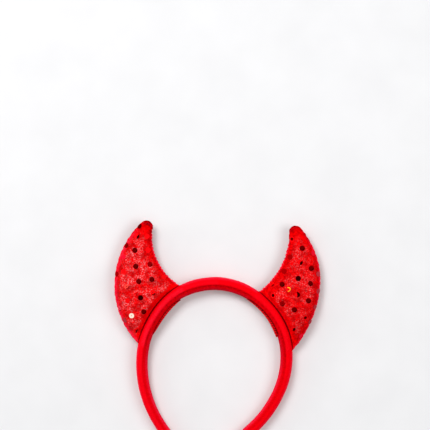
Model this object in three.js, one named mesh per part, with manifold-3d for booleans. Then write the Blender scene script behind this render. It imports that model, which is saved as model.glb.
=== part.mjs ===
// A devil horns headband: a padded band covered in velvet, with a stuffed horn of
// sequinned cloth on each side, and a felt patch inside the band behind each horn.
//
// It is drawn in the band's own plane first: x to the right, y from the legs to the
// horns, z across the band, with the origin at the centre of the band's round crown.
// Then it is laid down as it rests on a table, where the stuffed horns are thicker
// than the band: +Z is up, +Y points to the horns' tips, and the origin is on the
// table, under the middle of the whole outline.
//
// Lengths are in millimetres and angles in degrees.

import * as THREE from "three";
import { mergeVertices } from "three/addons/utils/BufferGeometryUtils.js";
import Module from "manifold-3d";

const wasm = await Module();
wasm.setup();

const clearance = 0.3; // between any two pieces that touch

// The band's centre line is one arc over the crown, and a leg of arcs tangent to it
// on each side, given as shares of the leg's length. The legs are bent by hand, so
// they differ. A negative radius bends a leg's end outwards again.
const crownRadius = 60.2;
const crownHalfAngle = 85;
const legLength = 101;
const legArcs = {
  left: [
    { length: 0.74, radius: 0.97 },
    { length: 0.26, radius: -1.6 },
  ],
  right: [
    { length: 0.35, radius: 0.69 },
    { length: 0.38, radius: 1.04 },
    { length: 0.27, radius: -1.6 },
  ],
};

// Where the band is pressed in or out of that line: the depth inwards, the place of
// the middle from the crown's top, and the reach to both sides of it along the band,
// as shares of crownRadius.
const bandDents = {
  left: [
    { depth: 0.022, along: 1.15, reach: 0.66 },
    { depth: -0.004, along: 2.25, reach: 0.6 },
  ],
  right: [
    { depth: 0.01, along: 0.73, reach: 0.55 },
    { depth: -0.009, along: 2.4, reach: 0.7 },
  ],
};

// The band's oval section: thickness is measured in the band's plane, and depth
// across it. Both shrink evenly from the crown to the rounded ends. The padding of
// the two ends differs, as a share of bandEndThickness.
const bandThickness = 10.6;
const bandEndThickness = 8.65;
const bandEndPadding = { left: 0.954, right: 1.046 };
const bandDepth = 12;
const bandEndDepth = 9.6;
const bandEndRound = 4.5;

// The horn. Its base runs along the band from hornStart, measured from the crown's
// middle, and its tip stands hornRise out from the base's upper end. Each edge is an
// arc from the base to the tip, and a bulge is how far the arc's middle stands off
// its chord.
const hornStart = 32;
const hornBaseLength = 55.8;
const hornRise = 57.2;
const hornTipRadius = 5.2;
const hornOuterBulge = 19.4;
const hornInnerBulge = 7.7;
const hornDepth = 18;
const hornFlattening = 0.6; // of the cloth that lies on the table
const hornSeatOverlap = 3; // how deep the base reaches before the band cuts it

// The two horns are cut and stuffed by hand: each one's sizes as shares of those
// above, and the angle by which its tip leans from straight out towards the crown.
// The outer edge stands off its arc near the tip, and as far in near the base, by a
// skew that is a share of its bulge.
const hornMake = {
  left: {
    start: 0.947,
    base: 1.03,
    rise: 0.981,
    innerBulge: 1.09,
    outerBulge: 1.05,
    skew: 0,
    lean: -3.7,
  },
  right: {
    start: 1.053,
    base: 0.97,
    rise: 1.019,
    innerBulge: 0.91,
    outerBulge: 0.95,
    skew: 0.054,
    lean: 2.7,
  },
};

// The stuffed cloth across a horn, from edge to edge: a higher flatness makes the
// middle flatter, and a lower roundness makes the edges rounder.
const hornFlatness = 2.4;
const hornRoundness = 0.56;

// How full the stuffing is, as a share of hornDepth, from the base to the tip.
const hornFullness = [
  { along: 0, depth: 0.42 },
  { along: 0.03, depth: 0.68 },
  { along: 0.08, depth: 0.86 },
  { along: 0.15, depth: 0.96 },
  { along: 0.25, depth: 1 },
  { along: 0.45, depth: 0.92 },
  { along: 0.65, depth: 0.77 },
  { along: 0.85, depth: 0.6 },
  { along: 1, depth: 0.5 },
];

// Sequins, glued flat on both faces of a horn in slanted rows and columns.
const sequinRadius = 2;
const sequinThickness = 0.35;
const sequinRoot = 0.8; // how deep a disc is set into the stuffed cloth
const sequinFirst = { out: 7.6, down: 10.5 }; // from the tip's middle to one of them
const sequinRowPitch = 12.7;
const sequinColumnPitch = 10.1;
const sequinRowAngle = -24; // from x, down and outwards
const sequinColumnAngle = -97.5; // from x, down along the horn
const sequinMargin = 2.2; // from a disc's middle to the horn's edge or the band

// The felt patch inside the band, wrapped round the inner side of its section. It
// runs between two shares of its horn's base, and its thickness along it is given as
// shares of patchThickness.
const patchSpan = {
  left: { from: 0.09, to: 0.81 },
  right: { from: -0.1, to: 0.75 },
};
const patchThickness = 1.4;
const patchFullness = {
  left: [
    { along: 0, thickness: 0.5 },
    { along: 0.3, thickness: 0.95 },
    { along: 0.6, thickness: 1 },
    { along: 0.85, thickness: 0.7 },
    { along: 1, thickness: 0.35 },
  ],
  right: [
    { along: 0, thickness: 0.35 },
    { along: 0.3, thickness: 0.45 },
    { along: 0.6, thickness: 0.65 },
    { along: 0.8, thickness: 1 },
    { along: 1, thickness: 0.9 },
  ],
};
const patchWrapAngle = 34; // to each side of the section's innermost point
const patchEndShare = 0.4; // of that angle, at both ends
const patchTopShare = 0.9; // of that angle, on the patch's own inner face

// How finely the round shapes are faceted.
const bandSides = 16;
const bandStep = 5;
const bandEndTurns = [30, 55, 75]; // round the quarter circle of each end
const hornSteps = 20;
const hornCrowding = 1.35; // above 1, the steps crowd towards the base
const hornCapSteps = 4;
const hornColumns = 10;
const patchSteps = 16;
const patchSides = 5;
const sequinSides = 8;

const velvet = new THREE.MeshStandardMaterial({ color: 0xe2000f, roughness: 0.85, metalness: 0 });
const sequinCloth = new THREE.MeshStandardMaterial({ color: 0xd0060c, roughness: 0.45, metalness: 0.3 });
const felt = new THREE.MeshStandardMaterial({ color: 0xb4000c, roughness: 0.95, metalness: 0 });

const radians = THREE.MathUtils.degToRad;
const lerp = THREE.MathUtils.lerp;

// A smooth value between the rows of a table, with the slope of their neighbours.
function between(rows, column, along) {
  const last = rows.length - 1;
  let i = rows.findIndex((row) => row.along > along) - 1;
  if (i < 0) i = along < rows[0].along ? 0 : last - 1;
  const slope = (k) => {
    const [a, b] = [rows[Math.max(k - 1, 0)], rows[Math.min(k + 1, last)]];
    return (b[column] - a[column]) / (b.along - a.along);
  };
  const [a, b] = [rows[i], rows[i + 1]];
  const span = b.along - a.along;
  const t = THREE.MathUtils.clamp((along - a.along) / span, 0, 1);
  return (
    a[column] * (1 + 2 * t) * (1 - t) ** 2 +
    slope(i) * span * t * (1 - t) ** 2 +
    b[column] * t * t * (3 - 2 * t) -
    slope(i + 1) * span * t * t * (1 - t)
  );
}

// One side of the band's centre line, drawn to the right: the point and the outward
// direction at a distance from the crown's middle, and the thickness at its end.
function sideLine(name) {
  const crown = { length: crownRadius * radians(crownHalfAngle), radius: crownRadius };
  const leg = legArcs[name].map((arc) => ({
    length: arc.length * legLength,
    radius: arc.radius * legLength,
  }));
  const chain = [crown, ...leg];
  const length = chain.reduce((sum, arc) => sum + arc.length, 0);
  const at = (distance) => {
    let outward = Math.PI / 2;
    const point = new THREE.Vector2(0, crownRadius);
    let left = distance;
    for (const arc of chain) {
      const run = Math.min(left, arc.length);
      const next = outward - run / arc.radius;
      point.x += arc.radius * (Math.cos(next) - Math.cos(outward));
      point.y += arc.radius * (Math.sin(next) - Math.sin(outward));
      outward = next;
      left -= run;
    }
    const direction = new THREE.Vector2(Math.cos(outward), Math.sin(outward));
    for (const dent of bandDents[name]) {
      const away = Math.min(Math.abs(distance / crownRadius - dent.along) / dent.reach, 1);
      const depth = dent.depth * crownRadius * Math.cos((away * Math.PI) / 2) ** 2;
      point.addScaledVector(direction, -depth);
    }
    return { point, outward: direction };
  };
  return { length, at, endThickness: bandEndThickness * bandEndPadding[name] };
}

function side(name, sign) {
  const make = hornMake[name];
  const start = hornStart * make.start;
  const base = hornBaseLength * make.base;
  const span = patchSpan[name];
  return {
    sign,
    line: sideLine(name),
    horn: {
      start,
      base,
      rise: hornRise * make.rise,
      innerBulge: hornInnerBulge * make.innerBulge,
      outerBulge: hornOuterBulge * make.outerBulge,
      outerSkew: hornOuterBulge * make.outerBulge * make.skew,
      lean: radians(make.lean),
    },
    patch: {
      start: start + base * span.from,
      length: base * (span.to - span.from),
      fullness: patchFullness[name],
    },
  };
}

const sides = { left: side("left", -1), right: side("right", 1) };

// Half the band's thickness and depth at a distance from the crown's middle.
function bandSection(line, distance) {
  const share = distance / line.length;
  const past = Math.max(distance - (line.length - bandEndRound), 0) / bandEndRound;
  const round = Math.sqrt(Math.max(1 - past * past, 0));
  return {
    thickness: (lerp(bandThickness, line.endThickness, share) / 2) * round,
    depth: (lerp(bandDepth, bandEndDepth, share) / 2) * round,
  };
}

// A closed skin through rings of equally many points, with a point at each end.
function loft(rings, flipped) {
  const count = rings[0].length;
  const middle = (ring) => {
    const sum = ring.reduce((total, p) => total.add(p), new THREE.Vector3());
    return sum.divideScalar(ring.length);
  };
  const points = [...rings.flat(), middle(rings[0]), middle(rings.at(-1))];
  const faces = [];
  const add = (a, b, c) => faces.push(...(flipped ? [a, c, b] : [a, b, c]));
  const first = points.length - 2;
  const lastRing = (rings.length - 1) * count;
  for (let j = 0; j < count; j++) {
    const k = (j + 1) % count;
    for (let i = 0; i < lastRing; i += count) {
      add(i + j, i + count + k, i + count + j);
      add(i + j, i + k, i + count + k);
    }
    add(first, k, j);
    add(first + 1, lastRing + j, lastRing + k);
  }
  const geometry = new THREE.BufferGeometry().setFromPoints(points);
  geometry.setIndex(faces);
  return geometry;
}

// Conversion of a closed geometry to a solid that can be joined and cut, and back.
function solid(geometry) {
  const bare = geometry.clone();
  bare.deleteAttribute("normal");
  bare.deleteAttribute("uv");
  const merged = mergeVertices(bare, 1e-4);
  return new wasm.Manifold(
    new wasm.Mesh({
      numProp: 3,
      vertProperties: merged.getAttribute("position").array,
      triVerts: new Uint32Array(merged.index.array),
    }),
  );
}

function geometryOf(body) {
  const mesh = body.getMesh();
  const geometry = new THREE.BufferGeometry();
  geometry.setAttribute("position", new THREE.BufferAttribute(mesh.vertProperties, 3));
  geometry.setIndex(new THREE.BufferAttribute(mesh.triVerts, 1));
  geometry.computeVertexNormals();
  return geometry;
}

// The whole band from its left end to its right end, grown by a margin all round.
function bandGeometry(margin) {
  const rings = [];
  const addRing = ({ sign, line }, distance) => {
    const { point, outward } = line.at(distance);
    const half = bandSection(line, distance);
    const ring = [];
    for (let k = 0; k < bandSides; k++) {
      const angle = (2 * Math.PI * k) / bandSides;
      const reach = (half.thickness + margin) * Math.cos(angle);
      ring.push(
        new THREE.Vector3(
          sign * (point.x + outward.x * reach),
          point.y + outward.y * reach,
          (half.depth + margin) * Math.sin(angle),
        ),
      );
    }
    rings.push(ring);
  };
  for (const distance of bandStations(sides.left.line).reverse()) addRing(sides.left, distance);
  for (const distance of bandStations(sides.right.line).slice(1)) addRing(sides.right, distance);
  return loft(rings, false);
}

// Distances from the crown's middle to one end, closer together round that end.
function bandStations(line) {
  const straight = line.length - bandEndRound;
  const steps = Math.ceil(straight / bandStep);
  const stations = [];
  for (let i = 0; i <= steps; i++) stations.push((straight * i) / steps);
  for (const turn of bandEndTurns) stations.push(straight + bandEndRound * Math.sin(radians(turn)));
  return stations;
}

// An arc from one point to another whose middle stands a bulge to the right of the
// chord: the point at a share of the arc, and the direction square to it on the right.
function bulgedArc(from, to, bulge) {
  const chord = to.clone().sub(from);
  const half = chord.length() / 2;
  const radius = (half * half + bulge * bulge) / (2 * bulge);
  const right = new THREE.Vector2(chord.y, -chord.x).normalize();
  const centre = from.clone().add(to).divideScalar(2).addScaledVector(right, bulge - radius);
  const start = Math.atan2(from.y - centre.y, from.x - centre.x);
  const sweep = 4 * Math.atan2(bulge, half);
  return {
    length: radius * sweep,
    at(share) {
      const angle = start + sweep * share;
      const normal = new THREE.Vector2(Math.cos(angle), Math.sin(angle));
      return { point: centre.clone().addScaledVector(normal, radius), normal };
    },
  };
}

// A horn's outline, drawn to the right: for a share of the way from base to tip, the
// points of the inner and outer edges, and the bend of the line between them.
function hornOutline({ line, horn }) {
  const seat = (share) => {
    const distance = horn.start + horn.base * share;
    const { point, outward } = line.at(distance);
    return { point: point.addScaledVector(outward, bandSection(line, distance).thickness), outward };
  };
  const upper = seat(0);
  const lower = seat(1);
  const towardsTip = upper.outward.clone().rotateAround(new THREE.Vector2(), horn.lean);
  const tip = upper.point.clone().addScaledVector(towardsTip, horn.rise);
  const inner = bulgedArc(upper.point, tip, horn.innerBulge);
  const outer = bulgedArc(lower.point, tip, horn.outerBulge);
  const rib = (share, back) => {
    const a = inner.at(share - back / inner.length);
    const b = outer.at(share - back / outer.length);
    const width = hornTipRadius * share;
    const skew = horn.outerSkew * Math.sin(2 * Math.PI * share);
    return [a.point.addScaledVector(a.normal, -width), b.point.addScaledVector(b.normal, width - skew)];
  };
  const [from, to] = [upper.point, lower.point];
  const bend = (across) => seat(across).point.sub(from.clone().lerp(to, across));
  const capFrom = inner.at(1).normal.angle() + Math.PI;
  const capTo = outer.at(1).normal.angle();
  const capRib = (turn) => {
    const middle = (capFrom + capTo) / 2;
    return [capFrom, capTo].map((angle) => {
      const at = lerp(angle, middle, turn);
      return tip.clone().add(new THREE.Vector2(Math.cos(at), Math.sin(at)).multiplyScalar(hornTipRadius));
    });
  };
  return { tip, rib, bend, capRib };
}

// One ring of the horn's skin: forward across the front face from the inner edge to
// the outer one, and back across the rear face. The seams lie at the two edges.
function hornRing(sign, [inner, outer], halfDepth, bend, bendShare) {
  const ring = [];
  for (let k = 0; k < 2 * hornColumns; k++) {
    const across = (1 - Math.cos((Math.PI * k) / hornColumns)) / 2;
    const swell = (1 - Math.abs(2 * across - 1) ** hornFlatness) ** hornRoundness;
    const point = inner.clone().lerp(outer, across).addScaledVector(bend(across), bendShare);
    const face = k <= hornColumns ? 1 : -1;
    ring.push(new THREE.Vector3(sign * point.x, point.y, face * halfDepth * swell));
  }
  return ring;
}

function hornGeometry(side) {
  const { sign } = side;
  const { rib, bend, capRib } = hornOutline(side);
  const halfDepth = (along) => (hornDepth / 2) * between(hornFullness, "depth", along);
  const rings = [hornRing(sign, rib(0, hornSeatOverlap), halfDepth(0), bend, 1)];
  for (let i = 0; i <= hornSteps; i++) {
    const along = (i / hornSteps) ** hornCrowding;
    rings.push(hornRing(sign, rib(along, 0), halfDepth(along), bend, (1 - along) ** 2));
  }
  const tipWidth = capRib(0)[0].distanceTo(capRib(0)[1]);
  for (let i = 1; i <= hornCapSteps; i++) {
    const ends = capRib(i / (hornCapSteps + 0.5));
    const share = ends[0].distanceTo(ends[1]) / tipWidth;
    rings.push(hornRing(sign, ends, halfDepth(1) * share, bend, 0));
  }
  return loft(rings, sign < 0);
}

// Middles of sequins in rows and columns that reach past the whole horn. The rear
// face has them half a pitch further on.
function sequinPlaces(side, rear) {
  const { tip } = hornOutline(side);
  const start = tip.clone().add(new THREE.Vector2(sequinFirst.out, -sequinFirst.down));
  const direction = (angle, pitch) =>
    new THREE.Vector2(Math.cos(radians(angle)), Math.sin(radians(angle))).multiplyScalar(pitch);
  const row = direction(sequinColumnAngle, sequinRowPitch);
  const column = direction(sequinRowAngle, sequinColumnPitch);
  const shift = rear ? 0.5 : 0;
  const places = [];
  const reach = Math.ceil((hornRise + hornBaseLength) / Math.min(sequinRowPitch, sequinColumnPitch));
  for (let i = -reach; i <= reach; i++) {
    for (let j = -reach; j <= reach; j++) {
      places.push(start.clone().addScaledVector(row, i + shift).addScaledVector(column, j + shift));
    }
  }
  return places;
}

// Discs for every place that lies on the horn with cloth all round it.
function sequins(side, skin, band) {
  const horn = new THREE.Mesh(skin, new THREE.MeshBasicMaterial({ side: THREE.DoubleSide }));
  const onBand = new THREE.Mesh(band, new THREE.MeshBasicMaterial({ side: THREE.DoubleSide }));
  const discs = [];
  for (const face of [1, -1]) {
    const down = new THREE.Vector3(0, 0, -face);
    const hit = (x, y, mesh) => {
      const ray = new THREE.Raycaster(new THREE.Vector3(x, y, face * hornDepth), down);
      return ray.intersectObject(mesh)[0];
    };
    for (const place of sequinPlaces(side, face < 0)) {
      const x = side.sign * place.x;
      const around = [0, 90, 180, 270].map((angle) => [
        x + sequinMargin * Math.cos(radians(angle)),
        place.y + sequinMargin * Math.sin(radians(angle)),
      ]);
      const fits = around.every(([u, v]) => hit(u, v, horn) && !hit(u, v, onBand));
      const found = fits && hit(x, place.y, horn);
      if (!found) continue;
      const height = sequinThickness + sequinRoot;
      const disc = new THREE.CylinderGeometry(sequinRadius, sequinRadius, height, sequinSides);
      const normal = found.face.normal.clone();
      disc.translate(0, sequinThickness - height / 2, 0);
      disc.applyQuaternion(new THREE.Quaternion().setFromUnitVectors(new THREE.Vector3(0, 1, 0), normal));
      disc.translate(...found.point);
      discs.push(disc);
    }
  }
  return discs;
}

// The felt patch: a thin strip on the inner side of the band's section, narrower
// towards both ends.
function patchGeometry({ sign, line, patch }) {
  const rings = [];
  for (let i = 0; i <= patchSteps; i++) {
    const share = i / patchSteps;
    const distance = patch.start + patch.length * share;
    const { point, outward } = line.at(distance);
    const half = bandSection(line, distance);
    const wrapShare = lerp(patchEndShare, 1, Math.sqrt(1 - Math.abs(2 * share - 1) ** 3));
    const wrap = radians(patchWrapAngle) * wrapShare;
    const thickness = patchThickness * between(patch.fullness, "thickness", share);
    const face = (lift, from, to) => {
      for (let k = 0; k <= patchSides; k++) {
        const angle = lerp(from, to, k / patchSides);
        const reach = -(half.thickness + lift) * Math.cos(angle);
        ring.push(
          new THREE.Vector3(
            sign * (point.x + outward.x * reach),
            point.y + outward.y * reach,
            (half.depth + lift) * Math.sin(angle),
          ),
        );
      }
    };
    const ring = [];
    face(clearance, -wrap, wrap);
    face(clearance + thickness, wrap * patchTopShare, -wrap * patchTopShare);
    rings.push(ring);
  }
  return loft(rings, sign < 0);
}

function pointsOf(geometry) {
  const position = geometry.getAttribute("position");
  const point = (_, i) => new THREE.Vector3().fromBufferAttribute(position, i);
  return Array.from({ length: position.count }, point);
}

// The height of the lowest point above the origin, once the band leans.
function lowest(points, lean) {
  return Math.min(...points.map((p) => p.y * Math.sin(lean) + p.z * Math.cos(lean)));
}

// How far the band leans when its horns and its legs both rest on the table: the
// lean at which the lowest points of both stand equally low.
function restingLean(hornPoints, bandPoints) {
  let [level, steep] = [0, radians(45)];
  while (steep - level > 1e-9) {
    const lean = (level + steep) / 2;
    const hornsLower = lowest(hornPoints, lean) + hornFlattening < lowest(bandPoints, lean);
    [level, steep] = hornsLower ? [lean, steep] : [level, lean];
  }
  return level;
}

// The table, as a block in the band's own frame that reaches past the headband. What
// it holds of a horn's lowest cloth is pressed flat.
function tableBlock(hornPoints, lean) {
  const reach = crownRadius + legLength + hornRise;
  const block = new THREE.BoxGeometry(2 * reach, 2 * reach, hornDepth);
  block.translate(0, 0, lowest(hornPoints, lean) + hornFlattening - hornDepth / 2);
  block.rotateX(-lean);
  return solid(block);
}

const bandSkin = bandGeometry(0);
const bandRoom = solid(bandGeometry(clearance));
const hornSkins = { left: hornGeometry(sides.left), right: hornGeometry(sides.right) };
const hornPoints = [...pointsOf(hornSkins.left), ...pointsOf(hornSkins.right)];
const lean = restingLean(hornPoints, pointsOf(bandSkin));
const table = tableBlock(hornPoints, lean);

function hornSolid(name) {
  let body = solid(hornSkins[name]);
  for (const disc of sequins(sides[name], hornSkins[name], bandSkin)) body = body.add(solid(disc));
  return geometryOf(body.subtract(bandRoom).subtract(table));
}

function named(name, geometry, material) {
  const mesh = new THREE.Mesh(geometry, material);
  mesh.name = name;
  return mesh;
}

const headband = new THREE.Group();
headband.add(
  named("band", bandSkin, velvet),
  named("horn_left", hornSolid("left"), sequinCloth),
  named("horn_right", hornSolid("right"), sequinCloth),
  named("patch_left", patchGeometry(sides.left), felt),
  named("patch_right", patchGeometry(sides.right), felt),
);
headband.rotation.x = lean;

const root = new THREE.Group();
root.add(headband);
root.updateMatrixWorld(true);
const box = new THREE.Box3().setFromObject(root, true);
const middle = box.getCenter(new THREE.Vector3());
headband.position.set(-middle.x, -middle.y, -box.min.z);

export default root;
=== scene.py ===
"""A devil horns headband lying on a pale table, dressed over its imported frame."""

import math
import random

import bmesh
import bpy
import numpy as np
from mathutils import Matrix, Vector, noise
from mathutils.bvhtree import BVHTree


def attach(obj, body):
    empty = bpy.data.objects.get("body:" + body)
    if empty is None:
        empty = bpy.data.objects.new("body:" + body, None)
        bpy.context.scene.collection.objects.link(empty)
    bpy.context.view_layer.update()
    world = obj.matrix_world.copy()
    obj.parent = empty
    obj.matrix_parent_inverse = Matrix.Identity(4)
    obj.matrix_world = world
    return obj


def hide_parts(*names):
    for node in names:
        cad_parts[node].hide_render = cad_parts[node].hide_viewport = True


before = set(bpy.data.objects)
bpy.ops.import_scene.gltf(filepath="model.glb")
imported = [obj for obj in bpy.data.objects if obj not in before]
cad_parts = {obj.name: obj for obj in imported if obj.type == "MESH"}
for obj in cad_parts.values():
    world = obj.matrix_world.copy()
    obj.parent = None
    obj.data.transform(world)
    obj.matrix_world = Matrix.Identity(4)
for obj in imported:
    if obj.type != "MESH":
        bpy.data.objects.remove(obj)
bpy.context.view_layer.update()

MM = 0.001

# The photo's own frame: its size, the size of a pixel on the table, and the pixel at
# the centre of the band's round crown. The headband is turned a little in it.
PHOTO_SIZE = 430
PIXEL = 0.83 * MM
CROWN_PIXEL = (214.4, 356.0)
PHOTO_TURN = math.radians(2.6)

# The band: its centre line is an arc over the crown and a leg of arcs on each side.
CROWN_RADIUS = 60.2 * MM
CROWN_HALF_ANGLE = math.radians(85)
LEG_LENGTH = 101 * MM
LEG_ARCS = {
    "left": [(0.74, 0.97), (0.26, -1.6)],
    "right": [(0.35, 0.69), (0.38, 1.04), (0.27, -1.6)],
}
# Where the band is pressed in or out of that line: the depth inwards, the place along
# the band from the crown's top, and the reach to both sides, as shares of CROWN_RADIUS.
BAND_DENTS = {
    "left": [(0.022, 1.15, 0.66), (-0.004, 2.25, 0.6)],
    "right": [(0.01, 0.73, 0.55), (-0.009, 2.4, 0.7)],
}
BAND_THICKNESS = 10.6 * MM
BAND_END_THICKNESS = {"left": 8.25 * MM, "right": 9.05 * MM}
BAND_DEPTH = 12 * MM
BAND_END_DEPTH = 9.6 * MM
BAND_END_ROUND = 4.5 * MM
BAND_STEP = 0.8 * MM
BAND_SIDES = 56

# The horns, by the sizes that each one was cut and stuffed to. The outer edge stands
# off its arc by the skew near the tip, and as far in near the base.
HORNS = {
    "left": {
        "sign": -1,
        "start": 30.3 * MM,
        "base": 57.5 * MM,
        "rise": 56.1 * MM,
        "inner_bulge": 8.4 * MM,
        "outer_bulge": 20.4 * MM,
        "outer_skew": 0.0,
        "lean": math.radians(-3.7),
        "patch": (35.5 * MM, 41.4 * MM),
        # How strong the painted highlight over the belly is: more on the left horn.
        "painted_sparkle": 1.0,
    },
    "right": {
        "sign": 1,
        "start": 33.7 * MM,
        "base": 54.1 * MM,
        "rise": 58.3 * MM,
        "inner_bulge": 7.0 * MM,
        "outer_bulge": 18.4 * MM,
        "outer_skew": 1.0 * MM,
        "lean": math.radians(2.7),
        "patch": (28.3 * MM, 46.0 * MM),
        "painted_sparkle": 0.4,
    },
}
HORN_TIP_RADIUS = 5.2 * MM
HORN_DEPTH = 18 * MM
HORN_FULLNESS = [
    (0.0, 0.40),
    (0.03, 0.62),
    (0.08, 0.84),
    (0.15, 0.95),
    (0.25, 1.0),
    (0.45, 0.92),
    (0.65, 0.77),
    (0.85, 0.6),
    (1.0, 0.5),
]
HORN_STEPS = 76
HORN_COLUMNS = 26
HORN_CAP_STEPS = 9
HEM_CLEARANCE = -0.1 * MM

# The photo's sequins, by the pixel at each one's middle and by its look there.
# Each look is a painted reflection: dark where the foil reflects darkness, and red, pink, gold or white
# where it catches the light.
SEQUIN_PIXELS = {
    "left": [
        (140, 224, "dark"), (137, 236, "third"), (147, 236, "red"), (126, 244, "wine"),
        (135, 250, "dark"), (148, 250, "red"), (124, 257, "crimson"), (136, 266, "dark"),
        (150, 264, "wine"), (117, 274, "maroon"), (124, 271, "red"), (139, 281, "dark"),
        (152, 279, "dark"), (127, 286, "salmon"), (164, 277, "red"), (141, 297, "black"),
        (153, 292, "trace"), (128, 300, "red"), (120, 308, "pink"), (144, 311, "dark"),
        (132, 315, "white"), (136, 330, "third"), (125, 320, "grey"),
    ],
    "right": [
        (302, 248, "dark"), (292, 239, "speck"), (290, 257, "maroon"), (300, 262, "third"),
        (311, 268, "dark"), (313, 253, "crimson"), (284, 271, "maroon"), (298, 278, "black"),
        (310, 283, "dark"), (318, 274, "grey"), (282, 284, "dark"), (288, 289, "gold"),
        (297, 294, "half"), (308, 300, "dark"), (318, 291, "grey"), (273, 295, "dot"),
        (282, 303, "wine"), (294, 309, "dark"), (305, 317, "dot"), (315, 307, "grey"),
        (293, 328, "third"), (310, 322, "grey"), (301, 336, "crimson"), (272, 284, "trace"),
    ],
}
SEQUIN_RADIUS = 2.15 * MM
KNOT_RADIUS = 0.4 * MM
KNOT_HEIGHT = 0.12 * MM
SEQUIN_THICKNESS = 0.18 * MM
SEQUIN_SIDES = 20
REST_FROM = math.radians(-100)

PATCH_THICKNESS = 1.4 * MM
PATCH_LIFT = 0.5 * MM
PATCH_WRAP = {"left": math.radians(23), "right": math.radians(35)}
PATCH_FULLNESS = {
    "left": [(0.0, 0.45), (0.3, 0.95), (0.6, 1.0), (0.85, 0.65), (1.0, 0.12)],
    "right": [(0.0, 0.12), (0.3, 0.4), (0.6, 0.65), (0.8, 1.0), (1.0, 0.85)],
}


# The band's own frame, in which all of it is drawn: x to the right, y from the legs
# to the horns, z across the band, and the origin at the centre of the round crown.


def own_frame():
    """The band's own frame, found on its node: the matrix from it to the row's frame."""
    points = np.array([v.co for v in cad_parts["band"].data.vertices])
    normal = np.linalg.svd(points - points.mean(axis=0), full_matrices=False)[2][2]
    normal *= math.copysign(1, normal[2])
    along = np.cross(normal, (1, 0, 0))
    top = points[np.argmax(points @ along)]
    origin = top - along * (CROWN_RADIUS + BAND_THICKNESS / 2)
    axes = Matrix(((1, 0, 0), along, normal)).transposed().to_4x4()
    return Matrix.Translation(origin) @ axes


OWN = own_frame()


def pressed_in(name, distance):
    """How far the centre line lies inside its arcs at a distance from the crown."""
    total = 0.0
    for depth, along, reach in BAND_DENTS[name]:
        away = min(abs(distance / CROWN_RADIUS - along) / reach, 1)
        total += depth * CROWN_RADIUS * math.cos(away * math.pi / 2) ** 2
    return total


def side_line(name):
    """One side of the centre line, drawn to the right: its length, and a function
    from a distance to the point and the outward direction there."""
    chain = [(CROWN_RADIUS * CROWN_HALF_ANGLE, CROWN_RADIUS)]
    chain += [(length * LEG_LENGTH, radius * LEG_LENGTH) for length, radius in LEG_ARCS[name]]

    def at(distance):
        outward = math.pi / 2
        x, y = 0.0, CROWN_RADIUS
        left = distance
        for length, radius in chain:
            run = min(left, length)
            after = outward - run / radius
            x += radius * (math.cos(after) - math.cos(outward))
            y += radius * (math.sin(after) - math.sin(outward))
            outward = after
            left -= run
        direction = Vector((math.cos(outward), math.sin(outward)))
        return Vector((x, y)) - direction * pressed_in(name, distance), direction

    return sum(length for length, _ in chain), at


LINES = {name: side_line(name) for name in LEG_ARCS}


def band_half(name, distance):
    """Half the band's thickness and half its depth at a distance from the crown."""
    length = LINES[name][0]
    share = distance / length
    past = max(distance - (length - BAND_END_ROUND), 0) / BAND_END_ROUND
    roundness = math.sqrt(max(1 - past * past, 0))
    thickness = BAND_THICKNESS + (BAND_END_THICKNESS[name] - BAND_THICKNESS) * share
    depth = BAND_DEPTH + (BAND_END_DEPTH - BAND_DEPTH) * share
    return thickness / 2 * roundness, depth / 2 * roundness


def on_band(name, distance, angle, lift=0.0):
    """A point on the band's surface. The angle runs round the section from its
    outermost point over the top, and lift is how far the point stands off."""
    point, outward = LINES[name][1](distance)
    half_thickness, half_depth = band_half(name, distance)
    reach = (half_thickness + lift) * math.cos(angle)
    sign = HORNS[name]["sign"]
    return Vector(
        (
            sign * (point.x + outward.x * reach),
            point.y + outward.y * reach,
            (half_depth + lift) * math.sin(angle),
        )
    )


def from_centre_line(name, point):
    """For a point by the crown: its distance along it, how far it lies outside the
    centre line, and the outward direction there."""
    flat = Vector((abs(point.x), point.y))
    distance = CROWN_RADIUS * math.acos(min(max(flat.y / flat.length, -1), 1))
    outward = Vector((point.x, point.y)).normalized()
    return distance, flat.length - CROWN_RADIUS + pressed_in(name, distance), outward


def off_surface(name, point):
    """How far a point lies outside the band's outer surface, seen from above."""
    distance, reach, _ = from_centre_line(name, point)
    return reach - band_half(name, distance)[0]


def smooth(low, high, x):
    t = min(max((x - low) / (high - low), 0), 1)
    return t * t * (3 - 2 * t)


def wobble(point, size, seed):
    """Smooth noise from -1 to 1 at a point, with features of about that size."""
    return noise.noise(Vector(point) / size + Vector((seed, -seed, 2 * seed)))


# Meshes and their objects


def make_object(name, vertices, faces, material):
    mesh = bpy.data.meshes.new(name)
    mesh.from_pydata([tuple(v) for v in vertices], [], faces)
    mesh.validate()
    mesh.materials.append(material)
    for face in mesh.polygons:
        face.use_smooth = True
    made = bpy.data.objects.new(name, mesh)
    bpy.context.scene.collection.objects.link(made)
    return made


def loft_faces(rings, count, closed_ends=True):
    """Faces of a skin through rings of that many points, ring after ring. With closed
    ends, one more point at each end follows the rings."""
    faces = []
    for i in range(rings - 1):
        for j in range(count):
            k = (j + 1) % count
            a, b = i * count, (i + 1) * count
            faces.append((a + j, a + k, b + k, b + j))
    if closed_ends:
        first, last = rings * count, rings * count + 1
        end = (rings - 1) * count
        for j in range(count):
            k = (j + 1) % count
            faces.append((first, k, j))
            faces.append((last, end + j, end + k))
    return faces


def outward_faces(made):
    """Turns all faces to point out of the closed mesh."""
    edit = bmesh.new()
    edit.from_mesh(made.data)
    bmesh.ops.recalc_face_normals(edit, faces=edit.faces)
    edit.to_mesh(made.data)
    edit.free()
    return made


def colour_point(made, name, values):
    """Stores a grey value on each point, for its material to read."""
    layer = made.data.attributes.new(name, "FLOAT", "POINT")
    layer.data.foreach_set("value", np.asarray(values, np.float32))


def finish_piece(made, slot, *nodes):
    if nodes:
        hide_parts(*nodes)
    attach(made, "root")
    return made


# Materials


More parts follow.
